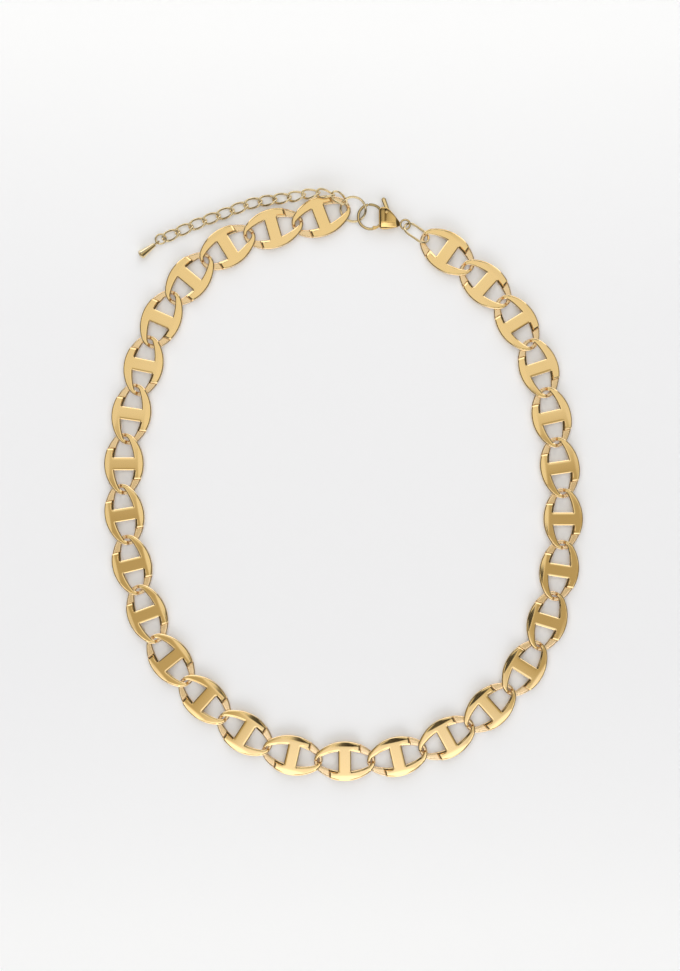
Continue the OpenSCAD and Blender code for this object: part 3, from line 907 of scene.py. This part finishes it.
# %% [markdown]
# ## Floor, light and reflections
# The chain lies on white paper in a bright room. Paper and gold ask for different things. The paper
# only needs light, so three large soft boxes light it that the gold doesn't mirror. The gold shows
# what stands round it, and a picture of a room could be wrapped round it. A ceiling card, one long
# light behind the clasp and a plain sky say it in a few numbers instead:
#
# - The links' flat tops mirror the card. It is dimmer and yellower where the side links and the
#   clasp look, brighter where the lower links' facets look, and dark where the lens would be.
# - The bevels mirror the sky between the card and the horizon. It is dark, except low in the south,
#   and the long light fills its low north. So edges that face north or south shine, and those that
#   face east or west are dark lines.
# - The horizon itself is pale again, for the walls and for views from the side.

# %% Stage and light
FLOOR_HALF, FLOOR_Z = 1500, -0.02


def flat_sheet(name, half, height, count, material):
    """A flat square that faces up: half its side and its height above the table in millimetres."""
    x = np.linspace(-half, half, count)
    points = np.stack([*np.meshgrid(x, x), np.full((count, count), height)], -1)
    mesh = finish_mesh(name, *join([(points, "", 0.0)]))
    if mesh.polygons[0].normal.z < 0:
        mesh.flip_normals()
    mesh.materials.append(material)
    sheet = bpy.data.objects.new(name, mesh)
    scene.collection.objects.link(sheet)
    return sheet


def soft_box(name, place, size, power, mirrored):
    """A rectangular area light at a place, turned toward the middle of the chain. One that isn't
    mirrored only brightens what is dull, as light that comes from all over the room does."""
    light = bpy.data.lights.new(name, "AREA")
    light.shape = "RECTANGLE"
    light.size, light.size_y = size
    light.energy = power
    box = bpy.data.objects.new(name, light)
    away = np.array(place) / np.linalg.norm(place)
    box.location = place
    box.rotation_euler = (math.acos(away[2]), 0, math.atan2(away[1], away[0]) + math.pi / 2)
    scene.collection.objects.link(box)
    box.visible_camera = False
    box.visible_glossy = mirrored


# The paper's colour is painted a little whiter toward the top and the bottom of the picture:
# painted light, brighter at both ends.
paper = bpy.data.materials.new("pale_paper")
paper.use_nodes = True
s = Shader(paper.node_tree)
place = s.place()
cloud = s.noise(place, 3.0)
north = s.part(place, 1)
far = s.spread(north * north, 0.002, 0.014)
white = s.mix(far + cloud * 0.1, (0.895, 0.905, 0.945), (0.96, 0.97, 0.998))
sheet = s.node("ShaderNodeBsdfPrincipled", {}, {"Base Color": white, "Roughness": 0.9})
s.node("ShaderNodeOutputMaterial", {}, {"Surface": sheet})
floor = flat_sheet("floor", FLOOR_HALF, FLOOR_Z, 9, paper)

# Name, place, width and height in metres, power in watts, and whether the gold mirrors it
SOFT_BOXES = (("back_strip", (0.0, 0.46, 0.225), (0.92, 0.2), 0.85, True),
              ("top_fill", (0.0, 0.05, 0.44), (0.6, 0.6), 0.86, False),
              ("back_fill", (0.0, 0.42, 0.42), (0.5, 0.25), 0.36, False),
              ("front_fill", (0.0, -0.5, 0.3), (1.0, 0.3), 1.72, False))
for box in SOFT_BOXES:
    soft_box(*box)
print("soft boxes:", len(SOFT_BOXES))

# %% Ceiling
CEILING_HALF, CEILING_Z = 300, 0.45
# Spots on the card: centre and radii in metres, then where its rim fades, counted in those radii
LEFT_SPOT = ((-0.106, -0.073), (0.066, 0.092), 0.62, 1.2)
RIGHT_SPOT = ((0.138, -0.042), (0.09, 0.07), 0.72, 1.28)
CLASP_SPOT = ((0.10, 0.24), (0.05, 0.06), 0.5, 1.0)
LENS_SPOT = ((0.014, -0.052), (0.024, 0.026), 0.85, 1.1)
ceiling_white = bpy.data.materials.new("ceiling_white")
ceiling_white.use_nodes = True
s = Shader(ceiling_white.node_tree)
place = s.place()


def outside(centre, radii, low, high):
    """0 inside a spot and 1 outside. A place's distance from the middle is counted in the spot's
    own radii, and the change runs from low to high."""
    vector = "ShaderNodeVectorMath"
    away = s.node(vector, {"operation": "SUBTRACT"}, {0: place, 1: (*centre, CEILING_Z)})
    scaled = s.node(vector, {"operation": "DIVIDE"}, {0: away, 1: (*radii, 1)})
    return s.spread(s.node(vector, {"operation": "LENGTH"}, {0: scaled}, output=1), low, high)


# A little dimmer to the east and west, brighter in front, and dark along the front and back rims
east, north = s.part(place, 0), s.part(place, 1)
dim = (1 - outside(*LEFT_SPOT)) + (1 - outside(*RIGHT_SPOT)) + (1 - outside(*CLASP_SPOT))
side = s.spread(east * east, 0.0035, 0.009)
front = s.spread(north, -0.114, -0.21)
front_rim, back_rim = s.spread(north, -0.235, -0.255), s.spread(north, 0.22, 0.26)
light = 0.89 - side * 0.05 - dim * 0.34 + front * 0.85 - (back_rim + front_rim * 2.1) * 0.75
light = light * (outside(*LENS_SPOT) * 0.95 + 0.05)
bright = s.mix(s.spread(north, -0.12, -0.06), (1.0, 0.99, 0.98), (1.0, 0.96, 0.82))
tint = s.mix(dim, bright, (1.0, 0.86, 0.55))
glow = s.node("ShaderNodeEmission", {}, {"Color": tint, "Strength": light})
s.node("ShaderNodeOutputMaterial", {}, {"Surface": glow})
ceiling = flat_sheet("ceiling", CEILING_HALF, CEILING_Z / MM, 3, ceiling_white)
ceiling.visible_camera = False
print("card:", 2 * CEILING_HALF, "mm wide at", round(CEILING_Z / MM), "mm")

# %% Sky
PALE, DARK = (0.9, 0.9, 0.9), (0.08, 0.075, 0.065)
world = bpy.data.worlds.new("studio")
scene.world = world
world.use_nodes = True
s = Shader(world.node_tree)
# In the world this node's first output is a direction. The sky is dark between the pale horizon
# and the card, but not in the south, where a window stands.
way = s.node("ShaderNodeTexCoord")
north, up = s.part(way, 1), s.part(way, 2)
band = s.spread(up, 0.14, 0.3) * (1 - s.spread(up, 0.76, 0.9))
not_south = s.spread(north, -0.84, -0.76)
window = s.spread(north, -0.84, -0.92)
room = s.mix(band * not_south, PALE, DARK)
sky = s.node("ShaderNodeBackground", {}, {"Color": room, "Strength": window * 0.8 + 1})
s.node("ShaderNodeOutputWorld", {}, {"Surface": sky})
scene.view_settings.view_transform = "Standard"
print("world:", world.name)
